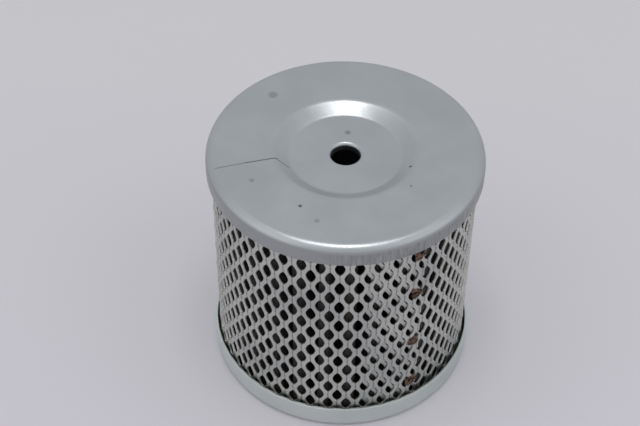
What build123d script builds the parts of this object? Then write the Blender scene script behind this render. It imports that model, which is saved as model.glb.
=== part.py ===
from build123d import *
from math import cos, degrees, floor, pi, radians, sin, tan
import os

# Hydraulic filter element: two pressed end caps, a lapped tube of expanded metal,
# a pleated medium and an inner core, bedded in adhesive.
# Millimetres, +Z up along the axis, origin at the centre of the bottom face. The side
# with the lapped seam is towards -Y and +X. Angles are in degrees from +X, seen from above.

# Whole element
element_height = 78.0
cap_radius = 40.0
cap_wall = 0.8
cap_corner_radius = 1.8
blend_flat_count = 1

# Top cap: short skirt, dished middle that ends inside the core, bolt hole with a lip drawn down
top_corner_flat_count = 2
top_skirt_height = 6.2
dish_depth = 2.4
dish_slope_angle = 29.0
dish_mouth_blend = 3.2
dish_floor_blend = 1.6
dish_clearance = 0.55
bolt_hole_radius = 4.2
bolt_lip_length = 1.6
bolt_lip_blend = 1.0

# Bottom cap: skirt turned up round the mesh, outlet with a collar turned up into the core
bottom_corner_flat_count = 2
bottom_skirt_height = 7.9
collar_height = 5.0
collar_blend = 1.4

# Rubber ring pressed into the collar, which seals on the spigot in the outlet
seal_radius = 17.5
seal_width = 2.6
seal_clearance = 0.05
seal_lead_in = 0.8

# Adhesive beds in the two caps, which everything between them stands in
bed_thickness = 2.0
bed_clearance = 0.05
bed_facet_count = 36

# Outer sleeve: expanded sheet rolled in flat facets, lapped on itself and spot welded.
# Its openings are drawn half as large again as the real ones, and so are fewer.
sleeve_clearance = 0.2
sleeve_sheet = 0.7
sleeve_columns_per_turn = 54.6
sleeve_lap_columns = 4
lap_climb_columns = 2
sleeve_lap_gap = 0.2
sleeve_lap_angle = -79.5
sleeve_row_count = 5
sleeve_pitch = 12.1
sleeve_opening_height = 9.0
sleeve_opening_width = 4.8
weld_width = 3.0
weld_angle = -56.5
weld_depths = [6.6, 22.5, 43.2, 62.0]

# Core tube: the same kind of sheet rolled to a closed tube round the collar and the dish
core_clearance = 0.2
core_sheet = 0.9
core_column_count = 14
core_row_count = 3
core_pitch = 18.0
core_opening_height = 13.0
core_opening_width = 3.9

# Pleated medium: one web folded outwards and inwards, its two ends closed by a clip
pleat_count = 30
seam_pleat_angle = 94.2
medium_thickness = 0.9
medium_clearance = 0.45
outer_fold_width = 2.0
inner_fold_width = 1.5
flap_gap = 0.1
flap_bend = 2.5
clip_sheet = 0.4
clip_clearance = 0.05
clip_foot_clearance = 3.5

# How far a cutting tool runs past the sheet that it cuts
cut_margin = 0.03

# Sizes that follow from the fits between the pieces
skirt_inner_radius = cap_radius - cap_wall
lap_radius = skirt_inner_radius - sleeve_clearance
sleeve_radius = lap_radius - sleeve_lap_gap - sleeve_sheet
collar_radius = seal_radius + seal_width + seal_clearance
core_inner_radius = collar_radius + cap_wall + core_clearance
core_corner_radius = (core_inner_radius + core_sheet) / cos(pi / core_column_count)
dish_mouth_radius = core_inner_radius - dish_clearance
bed_inner_radius = core_inner_radius - core_clearance + bed_clearance
bottom_bed_face = cap_wall + bed_thickness
top_bed_face = element_height - cap_wall - bed_thickness
outer_fold_radius = sleeve_radius - sleeve_sheet - medium_clearance
inner_fold_radius = core_corner_radius + medium_clearance + medium_thickness
flap_tip = outer_fold_radius - clip_sheet - clip_clearance
flap_root = inner_fold_radius + flap_bend

os.makedirs("parts", exist_ok=True)


def polar(radius, angle):
    return Vector(radius * cos(radians(angle)), radius * sin(radians(angle)))


def rounded(points, radii, flats):
    """Open line whose inner corners are replaced by arcs, each drawn as a few equal flats."""
    line = [Vector(*points[0])]
    for before, corner, after, radius, count in zip(points, points[1:], points[2:], radii, flats):
        corner = Vector(*corner)
        to_before = (Vector(*before) - corner).normalized()
        to_after = (Vector(*after) - corner).normalized()
        half_angle = to_before.get_angle(to_after) / 2
        centre = corner + (to_before + to_after).normalized() * (radius / sin(radians(half_angle)))
        start = corner + to_before * (radius / tan(radians(half_angle))) - centre
        turn = 180 - 2 * half_angle
        if to_before.cross(to_after).Z < 0:
            turn = -turn
        for flat in range(count + 1):
            line.append(centre + start.rotate(Axis.Z, -turn * flat / count))
    return line + [Vector(*points[-1])]


def pressed_sheet(points, radii, flats, wall):
    """Cap pressed from sheet: a line of (radius, height) points with wall inside it, revolved."""
    outline = rounded(points, radii, flats) + folded_side([Vector(*point) for point in points], wall)[::-1]
    return ring(outline)


def ring(points):
    """Solid of revolution of a closed polygon of (radius, height) points."""
    return revolve(Plane.XZ * make_face(Polyline(*points, close=True)), axis=Axis.Z)


def folded_side(path, thickness, closed=False):
    """Corners of the other face of a folded sheet whose thickness lies on the left of its path."""
    corners = []
    for index, corner in enumerate(path):
        runs = []
        if closed or index > 0:
            runs.append((corner - path[index - 1]).normalized())
        if closed or index < len(path) - 1:
            runs.append((path[(index + 1) % len(path)] - corner).normalized())
        normals = [Vector(-run.Y, run.X) for run in runs]
        bisector = sum(normals, Vector()).normalized()
        corners.append(corner + bisector * (thickness / bisector.dot(normals[0])))
    return corners


def upright(outline, bottom, top):
    """Prism of a closed plan outline between two heights."""
    section = Pos(0, 0, bottom) * make_face(Polyline(*outline, close=True))
    return extrude(section, top - bottom)


def diamond_cutters(path, inner_path, rows, pitch, height, width):
    """Openings of expanded sheet: a column on each fold, every second one half a pitch higher."""
    foot = (top_bed_face + bottom_bed_face - (rows - 0.5) * pitch) / 2
    corners = [(width / 2, 0), (0, height / 2), (-width / 2, 0), (0, -height / 2)]
    diamond = make_face(Polyline(*corners, close=True))
    cutters = []
    for column, (corner, inner_corner) in enumerate(zip(path, inner_path)):
        thickness = corner - inner_corner
        outward = thickness.normalized()
        across = outward.rotate(Axis.Z, 90)
        run = (path[column - 1] if column else path[1]) - corner
        fall = width / 2 * abs(run.normalized().dot(outward))
        tool = extrude(diamond, thickness.length / 2 + fall + cut_margin, both=True)
        middle = (corner + inner_corner) / 2
        for row in range(rows):
            height_of_row = foot + (row + 0.5 * (column % 2)) * pitch
            seat = Plane(middle + Vector(0, 0, height_of_row), x_dir=across, z_dir=outward)
            cutters.append(seat.location * tool)
    return cutters


def top_end_cap():
    dish_floor_radius = dish_mouth_radius - dish_depth / tan(radians(dish_slope_angle))
    dish_floor = element_height - dish_depth
    points = [
        (cap_radius, element_height - top_skirt_height),
        (cap_radius, element_height),
        (dish_mouth_radius, element_height),
        (dish_floor_radius, dish_floor),
        (bolt_hole_radius, dish_floor),
        (bolt_hole_radius, dish_floor - bolt_lip_blend - bolt_lip_length),
    ]
    radii = [cap_corner_radius, dish_mouth_blend, dish_floor_blend, bolt_lip_blend]
    return pressed_sheet(points, radii, [top_corner_flat_count] + 3 * [blend_flat_count], cap_wall)


def bottom_end_cap():
    points = [
        (cap_radius, bottom_skirt_height),
        (cap_radius, 0),
        (collar_radius, 0),
        (collar_radius, collar_height),
    ]
    flats = [bottom_corner_flat_count, blend_flat_count]
    return pressed_sheet(points, [cap_corner_radius, collar_blend], flats, -cap_wall)


def adhesive_bed(cap_face, free_face):
    """Ring of adhesive between a cap's flat and the face that the inner pieces stand on."""
    outline = RegularPolygon(skirt_inner_radius - bed_clearance, bed_facet_count)
    outline -= RegularPolygon(bed_inner_radius, bed_facet_count, major_radius=False)
    return extrude(Pos(0, 0, cap_face) * outline, free_face - cap_face)


def outer_sleeve():
    step = 360 / sleeve_columns_per_turn
    plain_columns = floor(sleeve_columns_per_turn)
    path = []
    for column in range(plain_columns + sleeve_lap_columns + 1):
        climb = min(max(column - plain_columns + lap_climb_columns, 0) / lap_climb_columns, 1)
        radius = sleeve_radius + climb * (lap_radius - sleeve_radius)
        path.append(polar(radius, sleeve_lap_angle + column * step))
    inner_path = folded_side(path, sleeve_sheet)
    sheet = upright(path + inner_path[::-1], bottom_bed_face, top_bed_face)
    sheet -= diamond_cutters(path, inner_path, sleeve_row_count, sleeve_pitch,
                             sleeve_opening_height, sleeve_opening_width)
    outward = polar(1, weld_angle)
    weld_root = outward * (sleeve_radius - sleeve_sheet / 2)
    nugget = extrude(Rectangle(weld_width, weld_width), sleeve_sheet + sleeve_lap_gap)
    seats = [Plane(weld_root + Vector(0, 0, top_bed_face - depth), z_dir=outward) for depth in weld_depths]
    return sheet + [seat.location * nugget for seat in seats]


def core_tube():
    step = 360 / core_column_count
    path = [polar(core_corner_radius, column * step) for column in range(core_column_count)]
    inner_path = folded_side(path, core_sheet, closed=True)
    tube = upright(path, bottom_bed_face, top_bed_face) - upright(inner_path, bottom_bed_face, top_bed_face)
    return tube - diamond_cutters(path, inner_path, core_row_count, core_pitch,
                                  core_opening_height, core_opening_width)


def seam_point(radial, across):
    """Point in plan, measured along and across the ray through the seam pleat."""
    ray = polar(1, seam_pleat_angle)
    return ray * radial + Vector(-ray.Y, ray.X) * across


def pleated_medium():
    step = 360 / pleat_count
    tip_half_angle = degrees(outer_fold_width / 2 / outer_fold_radius)
    valley_half_angle = degrees(inner_fold_width / 2 / inner_fold_radius)
    flap_face = flap_gap / 2 + medium_thickness
    path = [seam_point(flap_tip, flap_face), seam_point(flap_root, flap_face)]
    for pleat in range(1, pleat_count + 1):
        valley = seam_pleat_angle + (pleat - 0.5) * step
        path.append(polar(inner_fold_radius, valley - valley_half_angle))
        path.append(polar(inner_fold_radius, valley + valley_half_angle))
        if pleat < pleat_count:
            tip = seam_pleat_angle + pleat * step
            path.append(polar(outer_fold_radius, tip - tip_half_angle))
            path.append(polar(outer_fold_radius, tip + tip_half_angle))
    path += [seam_point(flap_root, -flap_face), seam_point(flap_tip, -flap_face)]
    other_side = folded_side(path, medium_thickness)
    return upright(path + other_side[::-1], bottom_bed_face, top_bed_face)


def pleat_seam_clip():
    leg_inner = flap_gap / 2 + medium_thickness + clip_clearance
    leg_outer = leg_inner + clip_sheet
    leg_end = flap_root + clip_foot_clearance
    back_inner = outer_fold_radius - clip_sheet
    outline = [
        (leg_end, leg_outer), (outer_fold_radius, leg_outer),
        (outer_fold_radius, -leg_outer), (leg_end, -leg_outer),
        (leg_end, -leg_inner), (back_inner, -leg_inner),
        (back_inner, leg_inner), (leg_end, leg_inner),
    ]
    return upright([seam_point(*corner) for corner in outline], bottom_bed_face, top_bed_face)


def outlet_seal():
    wall_face = collar_radius - seal_clearance
    points = [
        (seal_radius + seal_lead_in, collar_blend),
        (wall_face, collar_blend),
        (wall_face, collar_height),
        (seal_radius, collar_height),
        (seal_radius, collar_blend + seal_lead_in),
    ]
    return ring(points)


parts = {
    "top_end_cap": top_end_cap(),
    "bottom_end_cap": bottom_end_cap(),
    "top_adhesive_bed": adhesive_bed(element_height - cap_wall, top_bed_face),
    "bottom_adhesive_bed": adhesive_bed(cap_wall, bottom_bed_face),
    "outer_sleeve": outer_sleeve(),
    "core_tube": core_tube(),
    "pleated_medium": pleated_medium(),
    "pleat_seam_clip": pleat_seam_clip(),
    "outlet_seal": outlet_seal(),
}

for node, solid in parts.items():
    export_step(solid, f"parts/{node}.step")
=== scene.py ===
import math

import bmesh
import bpy
from mathutils import Matrix, Vector, noise


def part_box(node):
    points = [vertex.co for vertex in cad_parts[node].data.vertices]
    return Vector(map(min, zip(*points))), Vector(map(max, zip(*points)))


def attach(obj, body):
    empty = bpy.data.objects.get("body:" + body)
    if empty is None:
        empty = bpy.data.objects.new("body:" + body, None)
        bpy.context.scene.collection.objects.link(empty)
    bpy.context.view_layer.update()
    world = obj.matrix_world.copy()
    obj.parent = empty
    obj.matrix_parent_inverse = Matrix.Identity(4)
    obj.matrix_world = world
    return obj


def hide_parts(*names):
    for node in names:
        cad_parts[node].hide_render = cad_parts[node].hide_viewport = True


# Hydraulic filter element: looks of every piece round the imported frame.
# Lengths are millimetres until a mesh is made. Angles are degrees round the axis, measured
# from the side that faces the camera (-Y) and growing towards +X.

MM = 0.001

# Camera: where it stands from the centre of the top face, and how it is turned from there
IMAGE_WIDTH = 640
SENSOR_WIDTH = 36.0
FOCAL_PIXELS = 1445.6
CAMERA_ELEVATION = 42.866
CAMERA_DISTANCE = 411.65
CAMERA_PAN = -0.948
CAMERA_TILT = -2.621
CAMERA_ROLL = -1.524

# Caps
CAP_WALL = 0.8
TOP_CORNER = 2.6
BOTTOM_CORNER = 1.8
RIM_ROUND = 0.18
TOP_SKIRT = 6.2
DISH_DEPTH = 2.4
DISH_MOUTH = 20.6
DISH_SLOPE = 29.0
DISH_MOUTH_BLEND = 3.2
DISH_FLOOR_BLEND = 1.6
HOLE_RADIUS = 4.2
HOLE_LIP = 1.6
HOLE_BLEND = 1.0
COLLAR_BLEND = 1.4
LATHE_TURNS = 288
ARC_STEP = 9.0

# Draw line pressed round the top cap's skirt, and where it fades out
DRAW_LINE_DEPTHS = (1.55, 2.25)
DRAW_LINE_WIDTH = 0.17
DRAW_LINE_RELIEF = 0.05
DRAW_LINE_FROM = -22.0
DRAW_LINE_TO = 66.0
DRAW_LINE_FADE = 16.0

# Expanded sheet of the sleeve. It is rolled slightly askew, and its start lies inside its end.
SLEEVE_RADIUS = 38.5
SLEEVE_SHEET = 0.6
LAP_SINK = 0.65
LAP_START = 10.5
LAP_END = 36.3
LAP_RISE_TO = 95.0
COLUMN_STEP = 4.035
COLUMN_ZERO = -0.87
ROW_ZERO_DEPTH = 9.51
ROW_STEP = 3.965
ROW_SKEW = 0.0056
BACK_STRETCH = 2.2
BACK_FROM = -290.0
BACK_TO = -130.0
OPENING_WIDTH = 2.95
OPENING_HEIGHT = 4.9

# Marks on the top face: places in millimetres to the right and away from the camera, width and strength
SCRATCHES = (
    ((-36.3, -10.0), (-28.0, -7.4), 0.16, 0.35),
    ((-28.0, -7.4), (-19.5, -5.0), 0.15, 0.6),
    ((-19.5, -5.0), (-16.0, -6.9), 0.15, 0.5),
)
SPECKS = (
    ((18.4, -6.5), 0.28, 0.8),
    ((18.4, -14.9), 0.22, 0.55),
    ((-12.0, -23.9), 0.34, 0.75),
    ((-21.9, 22.0), 0.9, 0.3),
    ((0.5, 9.0), 0.55, 0.4),
    ((-25.8, -14.4), 0.45, 0.3),
    ((-7.2, -29.4), 0.5, 0.25),
)

# Part of the skirt with rub marks, as shares of the radius to the right
RUB_SIDES = (-0.3, 0.1)

# Spot welds down the lap, with the burnt metal round them
WELD_ANGLE = 33.5
WELD_HEIGHTS = (68.6, 52.7, 32.0, 13.2)
WELD_SIZE = 1.9
BURN_REACH = 4.2

# Core tube
CORE_COLUMNS = 14
CORE_ROW_STEP = 9.0

# Pleats
PLEAT_COUNT = 30
SEAM_PLEAT = 184.2
PAPER = 0.9

scene = bpy.context.scene
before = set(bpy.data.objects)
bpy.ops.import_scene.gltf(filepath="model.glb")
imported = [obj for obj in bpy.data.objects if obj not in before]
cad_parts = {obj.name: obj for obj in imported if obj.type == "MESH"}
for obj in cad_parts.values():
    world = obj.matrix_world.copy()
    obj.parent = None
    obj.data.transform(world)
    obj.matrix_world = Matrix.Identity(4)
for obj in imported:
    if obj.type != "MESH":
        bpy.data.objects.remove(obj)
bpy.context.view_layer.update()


def node_box(node):
    """A node's lowest and highest corners, in millimetres."""
    low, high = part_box(node)
    return low / MM, high / MM


HEIGHT = node_box("top_end_cap")[1].z
CAP_RADIUS = node_box("top_end_cap")[1].x
SHEET_BOTTOM = node_box("outer_sleeve")[0].z
SHEET_TOP = node_box("outer_sleeve")[1].z
BOTTOM_SKIRT = node_box("bottom_end_cap")[1].z
SEAL_BOTTOM = node_box("outlet_seal")[0].z
SEAL_TOP = node_box("outlet_seal")[1].z
SEAL_OUTER = node_box("outlet_seal")[1].x
SEAL_INNER = SEAL_OUTER - 2.6
CORE_CORNER = node_box("core_tube")[1].x
FOLD_RADIUS = SLEEVE_RADIUS - LAP_SINK - SLEEVE_SHEET - 0.3


def smooth(value):
    """Ease from 0 to 1 as value does."""
    value = min(max(value, 0.0), 1.0)
    return value * value * (3 - 2 * value)


def at(radius, angle, height):
    """Point on a cylinder, in millimetres."""
    turn = math.radians(angle)
    return Vector((radius * math.sin(turn), -radius * math.cos(turn), height))


# Node helpers

class Shader:
    """Builds one material out of nodes."""

    def __init__(self, name):
        self.material = bpy.data.materials.new(name)
        self.material.use_nodes = True
        self.tree = self.material.node_tree
        self.bsdf = self.tree.nodes["Principled BSDF"]

    def add(self, kind, inputs=None, **settings):
        node = self.tree.nodes.new(kind)
        for key, value in settings.items():
            setattr(node, key, value)
        for key, value in (inputs or {}).items():
            self.put(node.inputs[key], value)
        return node

    def put(self, socket, value):
        if isinstance(value, bpy.types.NodeSocket):
            self.tree.links.new(value, socket)
        else:
            socket.default_value = value

    def set(self, key, value):
        self.put(self.bsdf.inputs[key], value)

    def coords(self):
        return self.add("ShaderNodeTexCoord").outputs["Object"]

    def scaled(self, vector, scale):
        return self.add("ShaderNodeMapping", {"Vector": vector, "Scale": scale}).outputs["Vector"]

    def noise(self, vector, scale, detail=4.0, rough=0.55):
        made = self.add("ShaderNodeTexNoise", {"Vector": vector, "Scale": scale, "Detail": detail,
                                               "Roughness": rough})
        return made.outputs["Fac"]

    def math(self, operation, a, b=0.0, c=0.0):
        node = self.add("ShaderNodeMath", operation=operation)
        for socket, value in zip(node.inputs, (a, b, c)):
            self.put(socket, value)
        return node.outputs["Value"]

    def between(self, value, low, high, to_low=0.0, to_high=1.0):
        node = self.add("ShaderNodeMapRange", {"Value": value, "From Min": low, "From Max": high,
                                               "To Min": to_low, "To Max": to_high})
        node.interpolation_type = "SMOOTHSTEP"
        return node.outputs["Result"]

    def mix(self, amount, a, b):
        node = self.add("ShaderNodeMix", data_type="RGBA")
        self.put(node.inputs["Factor"], amount)
        self.put(node.inputs["A"], a)
        self.put(node.inputs["B"], b)
        return node.outputs["Result"]

    def attribute(self, name):
        return self.add("ShaderNodeAttribute", attribute_name=name).outputs["Fac"]

    def beside(self, flat, start, end, width):
        """1 within a width in millimetres of a line on a flat face, and 0 past twice that."""
        start, end = Vector(start) * MM, Vector(end) * MM
        run = end - start
        off = self.add("ShaderNodeVectorMath", {0: flat, 1: (*start, 0)}, operation="SUBTRACT").outputs["Vector"]
        if run.length > 0:
            along = self.add("ShaderNodeVectorMath", {0: off, 1: (*run, 0)}, operation="DOT_PRODUCT").outputs["Value"]
            share = self.add("ShaderNodeClamp", {"Value": self.math("MULTIPLY", along, 1 / run.length_squared)})
            foot = self.add("ShaderNodeVectorMath", {0: (*run, 0), "Scale": share.outputs["Result"]},
                            operation="SCALE").outputs["Vector"]
            off = self.add("ShaderNodeVectorMath", {0: off, 1: foot}, operation="SUBTRACT").outputs["Vector"]
        away = self.add("ShaderNodeVectorMath", {0: off}, operation="LENGTH").outputs["Value"]
        return self.between(away, width * MM, 2 * width * MM, 1.0, 0.0)

    def bump(self, height, distance, strength=1.0, normal=None):
        inputs = {"Height": height, "Distance": distance, "Strength": strength}
        if normal is not None:
            inputs["Normal"] = normal
        return self.add("ShaderNodeBump", inputs).outputs["Normal"]


def rgb(red, green, blue):
    """Linear colour of an sRGB colour given in 0 to 255."""
    def linear(channel):
        share = channel / 255
        return share / 12.92 if share <= 0.04045 else ((share + 0.055) / 1.055) ** 2.4
    return (linear(red), linear(green), linear(blue), 1.0)


# Materials

def plated_steel(name, base, darker, roughness, grain=0.02):
    """Bright zinc plate: cloudy tone, fine grain and a soft sheen. Returns the shader for marks."""
    shader = Shader(name)
    place = shader.coords()
    cloud = shader.noise(place, 38.0, 5.0, 0.6)
    tone = shader.mix(shader.between(cloud, 0.35, 0.68), base, darker)
    fine = shader.noise(place, 2600.0, 3.0, 0.7)
    shader.tone = shader.mix(shader.math("MULTIPLY", fine, 0.16), tone, (0.25, 0.26, 0.27, 1))
    shader.rough = shader.between(shader.noise(place, 90.0, 4.0), 0.3, 0.7, roughness - 0.04, roughness + 0.05)
    shader.place = place
    shader.set("Metallic", 1.0)
    shader.set("Base Color", shader.tone)
    shader.set("Roughness", shader.rough)
    shader.set("Normal", shader.bump(fine, grain * MM))
    return shader


def top_cap_steel():
    shader = plated_steel("top_cap_steel", rgb(196, 199, 202), rgb(188, 192, 195), 0.36)
    parts = shader.add("ShaderNodeSeparateXYZ", {"Vector": shader.place}).outputs
    flat = shader.add("ShaderNodeCombineXYZ", {"X": parts["X"], "Y": parts["Y"]}).outputs["Vector"]
    reach = shader.add("ShaderNodeVectorMath", {0: flat}, operation="LENGTH").outputs["Value"]
    skirt = shader.between(reach, (CAP_RADIUS - 0.5) * MM, (CAP_RADIUS - 0.1) * MM)
    streak = shader.noise(shader.scaled(shader.place, (1.0, 1.0, 0.1)), 1900.0, 4.0, 0.65)
    rubbed = shader.math("MULTIPLY", shader.between(parts["X"], *[CAP_RADIUS * MM * share for share in RUB_SIDES]),
                         shader.between(parts["Z"], (HEIGHT - 1.8) * MM, (HEIGHT - 2.6) * MM))
    # Painted shade: the skirt's outer wall is painted darker (168, 171, 171) than the top face. The streaked rub
    # lines, scratches and specks added below are real marks.
    shaded_and_worn = shader.mix(skirt, shader.tone, rgb(168, 171, 171))
    lines = shader.math("MULTIPLY", shader.math("MULTIPLY", rubbed, skirt), shader.between(streak, 0.35, 0.65))
    shaded_and_worn = shader.mix(shader.math("MULTIPLY", lines, 0.45), shaded_and_worn, rgb(112, 111, 108))
    for start, end, width, depth in SCRATCHES:
        mark = shader.math("MULTIPLY", shader.beside(flat, start, end, width), depth)
        shaded_and_worn = shader.mix(mark, shaded_and_worn, rgb(64, 66, 68))
    for spot, width, depth in SPECKS:
        mark = shader.math("MULTIPLY", shader.beside(flat, spot, spot, width), depth)
        shaded_and_worn = shader.mix(mark, shaded_and_worn, rgb(70, 66, 62))
    shader.set("Base Color", shaded_and_worn)
    return shader.material


def bottom_cap_steel():
    shader = plated_steel("bottom_cap_steel", rgb(226, 232, 228), rgb(214, 222, 219), 0.42)
    return shader.material


def expanded_steel():
    shader = plated_steel("expanded_steel", rgb(214, 214, 208), rgb(190, 192, 188), 0.46, 0.05)
    burn = shader.attribute("burn")
    nearest = shader.math("ABSOLUTE", shader.math("SUBTRACT", shader.math(
        "FRACT", shader.math("ADD", shader.attribute("column"), 1000.5)), 0.5))
    # Painted shade: a thin dark line is painted down the crease in the middle of each bond.
    crease = shader.between(nearest, 0.035, 0.075, 1.0, 0.0)
    crease_shaded_tone = shader.mix(shader.math("MULTIPLY", crease, 0.5), shader.tone, rgb(92, 90, 88))
    patch = shader.noise(shader.place, 900.0, 5.0, 0.65)
    scorch = shader.mix(shader.between(patch, 0.4, 0.62), rgb(54, 44, 38), rgb(150, 124, 108))
    spread = shader.between(shader.math("ADD", burn, shader.math("MULTIPLY", patch, 0.7)), 0.72, 0.95)
    shader.set("Base Color", shader.mix(spread, crease_shaded_tone, scorch))
    shader.set("Roughness", shader.math("ADD", shader.rough, shader.math("MULTIPLY", spread, 0.3)))
    return shader.material


def core_steel():
    return plated_steel("core_steel", rgb(182, 186, 188), rgb(160, 165, 168), 0.42).material


def clip_steel():
    return plated_steel("clip_steel", rgb(178, 180, 180), rgb(150, 152, 152), 0.4).material


def filter_medium():
    shader = Shader("filter_medium")
    place = shader.coords()
    fibre = shader.noise(shader.scaled(place, (1.0, 1.0, 0.45)), 1500.0, 6.0, 0.7)
    blotch = shader.noise(place, 160.0, 4.0)
    colour = shader.mix(shader.between(blotch, 0.3, 0.7), rgb(58, 53, 49), rgb(44, 42, 41))
    colour = shader.mix(shader.between(fibre, 0.35, 0.7), colour, rgb(74, 68, 64))
    shader.set("Base Color", colour)
    shader.set("Roughness", 0.85)
    shader.set("Normal", shader.bump(fibre, 0.12 * MM))
    return shader.material


def adhesive():
    shader = Shader("adhesive")
    place = shader.coords()
    lumps = shader.noise(place, 220.0, 4.0)
    shader.set("Base Color", shader.mix(lumps, rgb(58, 52, 46), rgb(84, 76, 66)))
    shader.set("Roughness", shader.between(lumps, 0.2, 0.8, 0.35, 0.6))
    shader.set("Normal", shader.bump(lumps, 0.2 * MM))
    return shader.material


def seal_rubber():
    shader = Shader("seal_rubber")
    place = shader.coords()
    bloom = shader.noise(place, 320.0, 5.0)
    shader.set("Base Color", shader.mix(shader.between(bloom, 0.45, 0.8), rgb(30, 30, 31), rgb(52, 52, 52)))
    shader.set("Roughness", shader.between(bloom, 0.2, 0.8, 0.45, 0.68))
    shader.set("Normal", shader.bump(shader.noise(place, 2500.0, 2.0), 0.02 * MM))
    return shader.material


# Mesh helpers

def piece_from(name, mesh, material, slot, *nodes, sharp=45.0):
    """Object of a bmesh in millimetres, in place of CAD nodes."""
    bmesh.ops.scale(mesh, vec=(MM, MM, MM), verts=mesh.verts)
    data = bpy.data.meshes.new(name)
    mesh.to_mesh(data)
    mesh.free()
    data.shade_smooth()
    data.set_sharp_from_angle(angle=math.radians(sharp))
    data.materials.append(material)
    made = bpy.data.objects.new(name, data)
    scene.collection.objects.link(made)
    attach(made, "root")
    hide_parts(*nodes)
    return made


def other_side(line, distance, closed=False):
    """The line moved sideways by distance, to the left of its run, with mitred corners."""
    moved = []
    last = len(line) - 1
    for index, point in enumerate(line):
        runs = []
        if closed or index > 0:
            runs.append((point - line[index - 1]).normalized())
        if closed or index < last:
            runs.append((line[(index + 1) % len(line)] - point).normalized())
        sides = [Vector((-run.y, run.x)) for run in runs]
        middle = sum(sides, Vector((0, 0))).normalized()
        moved.append(point + middle * (distance / middle.dot(sides[0])))
    return moved


def rounded(points, radii, closed=False):
    """Line with its corners turned into arcs of the given radii."""
    line = []
    count = len(points)
    for index, corner in enumerate(points):
        radius = radii[index]
        ends = not closed and index in (0, count - 1)
        if ends or radius <= 0:
            line.append(corner.copy())
            continue
        to_before = (points[index - 1] - corner).normalized()
        to_after = (points[(index + 1) % count] - corner).normalized()
        half = to_before.angle(to_after) / 2
        centre = corner + (to_before + to_after).normalized() * (radius / math.sin(half))
        start = corner + to_before * (radius / math.tan(half)) - centre
        turn = math.pi - 2 * half
        if to_before.x * to_after.y - to_before.y * to_after.x > 0:
            turn = -turn
        steps = max(2, round(math.degrees(abs(turn)) / ARC_STEP))
        for step in range(steps + 1):
            line.append(centre + Matrix.Rotation(turn * step / steps, 2) @ start)
    return line


def pressed_outline(points, radii, wall):
    """Closed section of pressed sheet: the given face, and the other one a wall away."""
    points = [Vector(point) for point in points]
    back = other_side(points, wall)
    back_radii = []
    for index, radius in enumerate(radii):
        if radius == 0:
            back_radii.append(0)
            continue
        before = points[index] - points[index - 1]
        after = points[index + 1] - points[index]
        left = before.x * after.y - before.y * after.x > 0
        back_radii.append(radius - abs(wall) if left == (wall > 0) else radius + abs(wall))
    corners = points + back[::-1]
    all_radii = radii + back_radii[::-1]
    for rim in (0, len(points) - 1, len(points), len(corners) - 1):
        all_radii[rim] = RIM_ROUND
    return rounded(corners, all_radii, closed=True)


def densified(outline, longest):
    """The same closed outline with no edge longer than a given length."""
    dense = []
    for start, end in zip(outline, outline[1:] + outline[:1]):
        parts = max(1, math.ceil((end - start).length / longest))
        dense += [start.lerp(end, part / parts) for part in range(parts)]
    return dense


def lathe(outline, turns=LATHE_TURNS, wobble=None):
    """Closed section of (radius, height) turned round the axis. wobble(radius, angle, height) moves a point."""
    mesh = bmesh.new()
    rings = []
    for turn in range(turns):
        angle = 360 * turn / turns
        ring = []
        for radius, height in outline:
            if wobble:
                radius, height = wobble(radius, angle, height)
            ring.append(mesh.verts.new(at(radius, angle, height)))
        rings.append(ring)
    for ring, following in zip(rings, rings[1:] + rings[:1]):
        for index in range(len(outline)):
            after = (index + 1) % len(outline)
            mesh.faces.new((ring[index], following[index], following[after], ring[after]))
    bmesh.ops.recalc_face_normals(mesh, faces=mesh.faces)
    return mesh


# Caps

def draw_line_relief(radius, angle, height):
    """Presses the faint double line into the top cap's skirt."""
    side = (angle + 180) % 360 - 180
    share = smooth((side - DRAW_LINE_FROM) / DRAW_LINE_FADE) * smooth((DRAW_LINE_TO - side) / DRAW_LINE_FADE)
    if radius > CAP_RADIUS - 0.4 and share > 0:
        for depth in DRAW_LINE_DEPTHS:
            away = (HEIGHT - depth - height) / DRAW_LINE_WIDTH
            radius -= DRAW_LINE_RELIEF * share * math.exp(-away * away)
    return radius, height


def top_cap():
    slope_run = DISH_DEPTH / math.tan(math.radians(DISH_SLOPE))
    floor = HEIGHT - DISH_DEPTH
    points = [
        (CAP_RADIUS, HEIGHT - TOP_SKIRT),
        (CAP_RADIUS, HEIGHT),
        (DISH_MOUTH, HEIGHT),
        (DISH_MOUTH - slope_run, floor),
        (HOLE_RADIUS, floor),
        (HOLE_RADIUS, floor - HOLE_BLEND - HOLE_LIP),
    ]
    radii = [0, TOP_CORNER, DISH_MOUTH_BLEND, DISH_FLOOR_BLEND, HOLE_BLEND, 0]
    outline = pressed_outline(points, radii, CAP_WALL)
    mesh = lathe(densified(outline, 0.35), wobble=draw_line_relief)
    return piece_from("top_cap", mesh, top_cap_steel(), "top_cap_steel", "top_end_cap")


def bottom_cap():
    collar = SEAL_OUTER + 0.05
    points = [(CAP_RADIUS, BOTTOM_SKIRT), (CAP_RADIUS, 0), (collar, 0), (collar, SEAL_TOP)]
    outline = pressed_outline(points, [0, BOTTOM_CORNER, COLLAR_BLEND, 0], -CAP_WALL)
    return piece_from("bottom_cap", lathe(densified(outline, 2.0)), bottom_cap_steel(), "bottom_cap_steel",
                      "bottom_end_cap")


def seal_ring():
    corners = [
        (SEAL_INNER + 0.8, SEAL_BOTTOM), (SEAL_OUTER, SEAL_BOTTOM), (SEAL_OUTER, SEAL_TOP),
        (SEAL_INNER, SEAL_TOP), (SEAL_INNER, SEAL_BOTTOM + 0.8),
    ]
    outline = rounded([Vector(corner) for corner in corners], [0.3, 0.2, 0.2, 0.5, 0.3], closed=True)
    return piece_from("seal_ring", lathe(outline, 160), seal_rubber(), "seal_rubber", "outlet_seal")


# Expanded sheet

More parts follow.
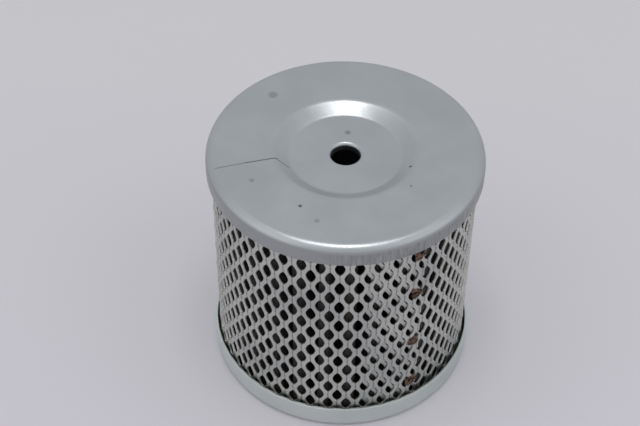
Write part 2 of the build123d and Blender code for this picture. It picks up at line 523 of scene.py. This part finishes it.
class Lattice:
    """Rhombic grid of openings on unrolled sheet. Lengths are along the sheet, in millimetres."""

    def __init__(self, column, row, opening_width, opening_height, sheet):
        self.column = column
        self.row = row
        self.half_width = opening_width / 2
        self.half_height = opening_height / 2
        self.sheet = sheet
        self.bevel = sheet * 0.22
        self.crease = sheet * 0.25
        self.burr = sheet * 0.16
        self.tilt = sheet * 0.2

    # Shares along each side of a cell, closer together next to the bonds
    SIDE = (0.0, 0.12, 0.5, 0.88)
    # How full the opening's upper and lower halves are: 1 is a diamond, 2 an ellipse
    UPPER_POWER = 1.45
    LOWER_POWER = 1.75

    def outline(self):
        """Pairs of opening edge and cell edge, clockwise from the top."""
        corners = [Vector((0, self.row)), Vector((self.column, 0)),
                   Vector((0, -self.row)), Vector((-self.column, 0))]
        pairs = []
        for side, (corner, following) in enumerate(zip(corners, corners[1:] + corners[:1])):
            for share in self.SIDE:
                turn = math.radians(90 * (side + 0.5 + (share - 0.5) * (0.8 if share else 1.0)))
                power = self.UPPER_POWER if math.cos(turn) > 0 else self.LOWER_POWER
                edge = Vector((
                    self.half_width * math.copysign(abs(math.sin(turn)) ** (2 / power), math.sin(turn)),
                    self.half_height * math.copysign(abs(math.cos(turn)) ** (2 / power), math.cos(turn)),
                ))
                pairs.append((edge, corner.lerp(following, share)))
        return pairs

    def rings(self):
        """Share of the way from opening to cell edge, and depth, of each ring from back to front."""
        return [
            (1.0, -self.sheet), (0.0, -self.sheet), (0.0, -self.bevel),
            (0.14, -0.25 * self.bevel), (0.5, 0.0), (1.0, 0.0),
        ]


def expanded_sheet(lattice, sites, bottom, top, ends=None):
    """Unrolled sheet as a bmesh of (along, depth, height)."""
    mesh = bmesh.new()
    outline = lattice.outline()
    foot = len(outline) // 2
    rings = lattice.rings()
    front = len(rings) - 1
    for along, height in sites:
        made = []
        for depth_index, (share, depth) in enumerate(rings):
            ring = []
            for index, (edge, border) in enumerate(outline):
                spot = edge.lerp(border, share)
                lean = -lattice.tilt * (edge.y / lattice.half_height) * (1 - share)
                sunk = 0.0
                if depth_index >= front - 2:
                    if index in (0, foot):
                        sunk = lattice.crease
                    elif index == foot + 1 and depth_index < front:
                        sunk = -lattice.burr
                ring.append(mesh.verts.new((along + spot.x, depth - sunk + lean, height + spot.y)))
            made.append(ring)
        for inner, outer in zip(made, made[1:]):
            for index in range(len(outline)):
                after = (index + 1) % len(outline)
                mesh.faces.new((inner[index], inner[after], outer[after], outer[index]))
    bmesh.ops.remove_doubles(mesh, verts=mesh.verts, dist=0.005)
    cuts = [((0, 0, bottom), (0, 0, -1)), ((0, 0, top), (0, 0, 1))]
    if ends:
        cuts += [((ends[0], 0, 0), (-1, 0, 0)), ((ends[1], 0, 0), (1, 0, 0))]
    for place, outward in cuts:
        everything = mesh.verts[:] + mesh.edges[:] + mesh.faces[:]
        cut = bmesh.ops.bisect_plane(mesh, geom=everything, dist=0.0001, plane_co=place, plane_no=outward,
                                     clear_outer=True)
        edges = [item for item in cut["geom_cut"] if isinstance(item, bmesh.types.BMEdge)]
        bmesh.ops.holes_fill(mesh, edges=edges, sides=0)
    return mesh


def roll_up(mesh, radius_at, per_degree):
    """Rolls an unrolled sheet round the axis."""
    for vert in mesh.verts:
        along, depth, height = vert.co
        angle = along / per_degree
        vert.co = at(radius_at(angle) + depth, angle, height)
    bmesh.ops.recalc_face_normals(mesh, faces=mesh.faces)


def sleeve_radius_at(angle):
    """Outer face of the sleeve: its start lies sunk under its end, and comes up past the lap."""
    past_lap = angle + 360 - LAP_END
    return SLEEVE_RADIUS - LAP_SINK * (1 - smooth(past_lap / (LAP_RISE_TO - LAP_END)))


def turned(angle):
    """Angle at which a place on the unrolled sheet ends up: the hidden back is stretched a little."""
    return angle + BACK_STRETCH * (1 - smooth((angle - BACK_FROM) / (BACK_TO - BACK_FROM)))


def sleeve():
    per_degree = math.radians(1) * SLEEVE_RADIUS
    lattice = Lattice(COLUMN_STEP * per_degree, ROW_STEP, OPENING_WIDTH, OPENING_HEIGHT, SLEEVE_SHEET)
    start, end = LAP_START - 360 - BACK_STRETCH, LAP_END
    first = math.floor((start - COLUMN_ZERO) / COLUMN_STEP) - 1
    last = math.ceil((end - COLUMN_ZERO) / COLUMN_STEP) + 1
    sites = []
    for column in range(first, last + 1):
        angle = COLUMN_ZERO + column * COLUMN_STEP
        for row in range(-2, 21):
            if (row + column) % 2 == 0:
                height = HEIGHT - ROW_ZERO_DEPTH - row * ROW_STEP + ROW_SKEW * angle
                sites.append((angle * per_degree, height))
    mesh = expanded_sheet(lattice, sites, SHEET_BOTTOM, SHEET_TOP, (start * per_degree, end * per_degree))
    column = mesh.verts.layers.float.new("column")
    burn = mesh.verts.layers.float.new("burn")
    for vert in mesh.verts:
        angle = vert.co.x / per_degree
        vert[column] = (angle - COLUMN_ZERO) / COLUMN_STEP
        across = (angle - WELD_ANGLE) * per_degree
        away = min(math.hypot(across, vert.co.z - height) for height in WELD_HEIGHTS)
        vert[burn] = 1 - min(away / BURN_REACH, 1.0)
        vert.co.x = turned(angle) * per_degree
    roll_up(mesh, sleeve_radius_at, per_degree)
    for height in WELD_HEIGHTS:
        spot_weld(mesh, height, column, burn)
    return piece_from("mesh_sleeve", mesh, expanded_steel(), "expanded_steel", "outer_sleeve", sharp=50.0)


def spot_weld(mesh, height, column, burn):
    """Lumpy patch of melted metal that joins the two layers of the lap."""
    rings, turns = 5, 16
    per_degree = math.radians(1) * SLEEVE_RADIUS
    grid = []
    for ring in range(rings + 1):
        row = []
        for turn in range(turns):
            heading = 2 * math.pi * turn / turns
            edge = noise.noise(Vector((2.1 * math.cos(heading), 2.1 * math.sin(heading), height)))
            reach = WELD_SIZE * (ring / rings) * (1 + 0.45 * edge)
            across = reach * math.cos(heading)
            rise = 1.25 * reach * math.sin(heading)
            lump = noise.noise(Vector((across * 1.4, rise * 1.4, height + 9)))
            out = 0.16 + 0.34 * lump - 0.5 * (ring / rings) ** 3
            vert = mesh.verts.new(at(SLEEVE_RADIUS + out, WELD_ANGLE + across / per_degree, height + rise))
            vert[column] = 0.5
            vert[burn] = 1.0 - 0.25 * ring / rings
            row.append(vert)
        grid.append(row)
    for inner, outer in zip(grid, grid[1:]):
        for turn in range(turns):
            after = (turn + 1) % turns
            mesh.faces.new((inner[turn], inner[after], outer[after], outer[turn]))
    bmesh.ops.remove_doubles(mesh, verts=grid[0], dist=0.01)


def core():
    flat_radius = CORE_CORNER * math.cos(math.pi / CORE_COLUMNS)
    per_degree = math.radians(1) * flat_radius
    step = 360 / CORE_COLUMNS
    lattice = Lattice(step * per_degree, CORE_ROW_STEP, 4.6, 13.0, 0.9)
    middle = (SHEET_TOP + SHEET_BOTTOM) / 2
    sites = []
    for column in range(CORE_COLUMNS):
        for row in range(-5, 6):
            if (row + column) % 2 == 0:
                sites.append(((column * step + 90) * per_degree, middle + row * CORE_ROW_STEP))
    mesh = expanded_sheet(lattice, sites, SHEET_BOTTOM, SHEET_TOP)
    roll_up(mesh, lambda angle: flat_radius, per_degree)
    bmesh.ops.remove_doubles(mesh, verts=mesh.verts, dist=0.01)
    return piece_from("core", mesh, core_steel(), "core_steel", "core_tube", sharp=50.0)


# Pleats and their clip

def plan(radius, angle):
    """Point in plan, in millimetres."""
    return at(radius, angle, 0).to_2d()


def folded_strip(path, radii, thickness, levels, flutter=0.0):
    """Upright strip of even thickness whose middle follows a path in plan."""
    middle = rounded(path, radii)
    middle = open_densified(middle, 2.2)
    sides = other_side(middle, thickness / 2) + other_side(middle, -thickness / 2)[::-1]
    mesh = bmesh.new()
    rings = []
    for level in levels:
        ring = []
        for spot in sides:
            shift = Vector((0, 0))
            if flutter:
                wave = noise.noise(Vector((spot.x * 0.09, spot.y * 0.09, level * 0.06)))
                shift = Vector((-spot.y, spot.x)).normalized() * (flutter * wave)
            ring.append(mesh.verts.new((spot.x + shift.x, spot.y + shift.y, level)))
        rings.append(ring)
    for ring, following in zip(rings, rings[1:]):
        for index in range(len(sides)):
            after = (index + 1) % len(sides)
            mesh.faces.new((ring[index], ring[after], following[after], following[index]))
    half = len(middle)
    for ring in (rings[0], rings[-1]):
        for index in range(half - 1):
            mesh.faces.new((ring[index], ring[index + 1], ring[-index - 2], ring[-index - 1]))
    bmesh.ops.recalc_face_normals(mesh, faces=mesh.faces)
    return mesh


def open_densified(line, longest):
    """The same open line with no run longer than a given length."""
    dense = []
    for start, end in zip(line, line[1:]):
        parts = max(1, math.ceil((end - start).length / longest))
        dense += [start.lerp(end, part / parts) for part in range(parts)]
    return dense + [line[-1]]


def levels(count):
    return [SHEET_BOTTOM + (SHEET_TOP - SHEET_BOTTOM) * index / count for index in range(count + 1)]


def seam_point(radial, across):
    ray = plan(1, SEAM_PLEAT)
    return ray * radial + Vector((-ray.y, ray.x)) * across


def pleats():
    step = 360 / PLEAT_COUNT
    half = PAPER / 2
    tip_radius = FOLD_RADIUS - half
    valley_radius = CORE_CORNER + 0.45 + half
    flap_root = valley_radius + 3.0
    tip_half = math.degrees(1.25 / tip_radius)
    valley_half = math.degrees(0.75 / valley_radius)
    path = [seam_point(tip_radius - 0.5, 0.05 + half), seam_point(flap_root, 0.05 + half)]
    radii = [0, 1.2]
    for pleat in range(1, PLEAT_COUNT + 1):
        valley = SEAM_PLEAT + (pleat - 0.5) * step
        path += [plan(valley_radius, valley - valley_half), plan(valley_radius, valley + valley_half)]
        radii += [0.6, 0.6]
        if pleat < PLEAT_COUNT:
            tip = SEAM_PLEAT + pleat * step
            path += [plan(tip_radius, tip - tip_half), plan(tip_radius, tip + tip_half)]
            radii += [0.9, 0.9]
    path += [seam_point(flap_root, -0.05 - half), seam_point(tip_radius - 0.5, -0.05 - half)]
    radii += [1.2, 0]
    mesh = folded_strip(path, radii, PAPER, levels(24), flutter=0.5)
    return piece_from("pleats", mesh, filter_medium(), "filter_medium", "pleated_medium")


def seam_clip():
    low, high = node_box("pleat_seam_clip")
    half = (high.x - low.x) / 2 - 0.2
    leg = PAPER + 0.05 + 0.05 + 0.2
    back = FOLD_RADIUS - 0.2
    foot = -low.y if abs(low.y) < abs(high.y) else low.y
    path = [seam_point(abs(foot) + 0.2, leg), seam_point(back, leg), seam_point(back, -leg),
            seam_point(abs(foot) + 0.2, -leg)]
    mesh = folded_strip(path, [0, 0.35, 0.35, 0], 0.4, levels(2))
    return piece_from("seam_clip", mesh, clip_steel(), "clip_steel", "pleat_seam_clip")


# Studio

def floor():
    size = 3.0
    mesh = bmesh.new()
    corners = [mesh.verts.new((x * size, y * size, 0)) for x, y in ((-1, -1), (1, -1), (1, 1), (-1, 1))]
    mesh.faces.new(corners)
    data = bpy.data.meshes.new("floor")
    mesh.to_mesh(data)
    mesh.free()
    shader = Shader("floor")
    place = shader.coords()
    far = shader.add("ShaderNodeSeparateXYZ", {"Vector": place}).outputs["Y"]
    colour = shader.mix(shader.between(far, -0.12, 0.45), rgb(217, 213, 220), rgb(219, 218, 216))
    cloud = shader.noise(place, 9.0, 3.0)
    shader.set("Base Color", shader.mix(shader.math("MULTIPLY", cloud, 0.12), colour, rgb(205, 202, 206)))
    shader.set("Roughness", 0.8)
    shader.set("Specular IOR Level", 0.2)
    data.materials.append(shader.material)
    made = bpy.data.objects.new("floor", data)
    scene.collection.objects.link(made)


def studio_world():
    world = bpy.data.worlds.new("studio")
    world.use_nodes = True
    scene.world = world
    tree = world.node_tree
    tree.nodes.clear()
    output = tree.nodes.new("ShaderNodeOutputWorld")
    mix = tree.nodes.new("ShaderNodeMixShader")
    seen = tree.nodes.new("ShaderNodeBackground")
    light = tree.nodes.new("ShaderNodeBackground")
    ray = tree.nodes.new("ShaderNodeLightPath")
    light.inputs["Color"].default_value = (0.94, 0.97, 1.0, 1)
    light.inputs["Strength"].default_value = 0.62
    seen.inputs["Color"].default_value = rgb(208, 207, 206)
    tree.links.new(ray.outputs["Is Camera Ray"], mix.inputs["Fac"])
    tree.links.new(light.outputs["Background"], mix.inputs[1])
    tree.links.new(seen.outputs["Background"], mix.inputs[2])
    tree.links.new(mix.outputs["Shader"], output.inputs["Surface"])


def softbox(name, azimuth, elevation, distance, size, power, colour=(1, 1, 1)):
    """Square lamp that looks at the object from an angle round it, in metres and watts."""
    lamp = bpy.data.lights.new(name, "AREA")
    lamp.shape = "SQUARE"
    lamp.size = size
    lamp.energy = power
    lamp.color = colour
    made = bpy.data.objects.new(name, lamp)
    scene.collection.objects.link(made)
    target = Vector((0, 0, 0.05))
    rise = math.radians(elevation)
    place = at(distance * math.cos(rise), azimuth, distance * math.sin(rise)) + target
    made.location = place
    made.rotation_euler = (target - place).to_track_quat("-Z", "Y").to_euler()


def photo_camera():
    data = bpy.data.cameras.new("camera")
    data.sensor_width = SENSOR_WIDTH
    data.lens = FOCAL_PIXELS / IMAGE_WIDTH * SENSOR_WIDTH
    data.clip_start = 0.02
    made = bpy.data.objects.new("camera", data)
    scene.collection.objects.link(made)
    rise = math.radians(CAMERA_ELEVATION)
    away = CAMERA_DISTANCE * MM
    place = Vector((0, -away * math.cos(rise), away * math.sin(rise) + HEIGHT * MM))
    turns = [(math.pi / 2 - rise, "X"), (-math.radians(CAMERA_PAN), "Y"),
             (math.radians(CAMERA_TILT), "X"), (-math.radians(CAMERA_ROLL), "Z")]
    matrix = Matrix.Translation(place)
    for angle, axis in turns:
        matrix = matrix @ Matrix.Rotation(angle, 4, axis)
    made.matrix_world = matrix
    scene.camera = made


def beds():
    material = adhesive()
    for node in ("top_adhesive_bed", "bottom_adhesive_bed"):
        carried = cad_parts[node]
        carried.data.materials.clear()
        carried.data.materials.append(material)


photo_camera()
studio_world()
softbox("key", 0, 87, 1.0, 0.34, 2.0)
softbox("left_fill", -60, 35, 1.2, 1.1, 1.0)
softbox("right_fill", 65, 35, 1.2, 1.1, 1.0)
floor()
top_cap()
bottom_cap()
sleeve()
core()
pleats()
seam_clip()
seal_ring()
beds()

scene.view_settings.view_transform = "Standard"
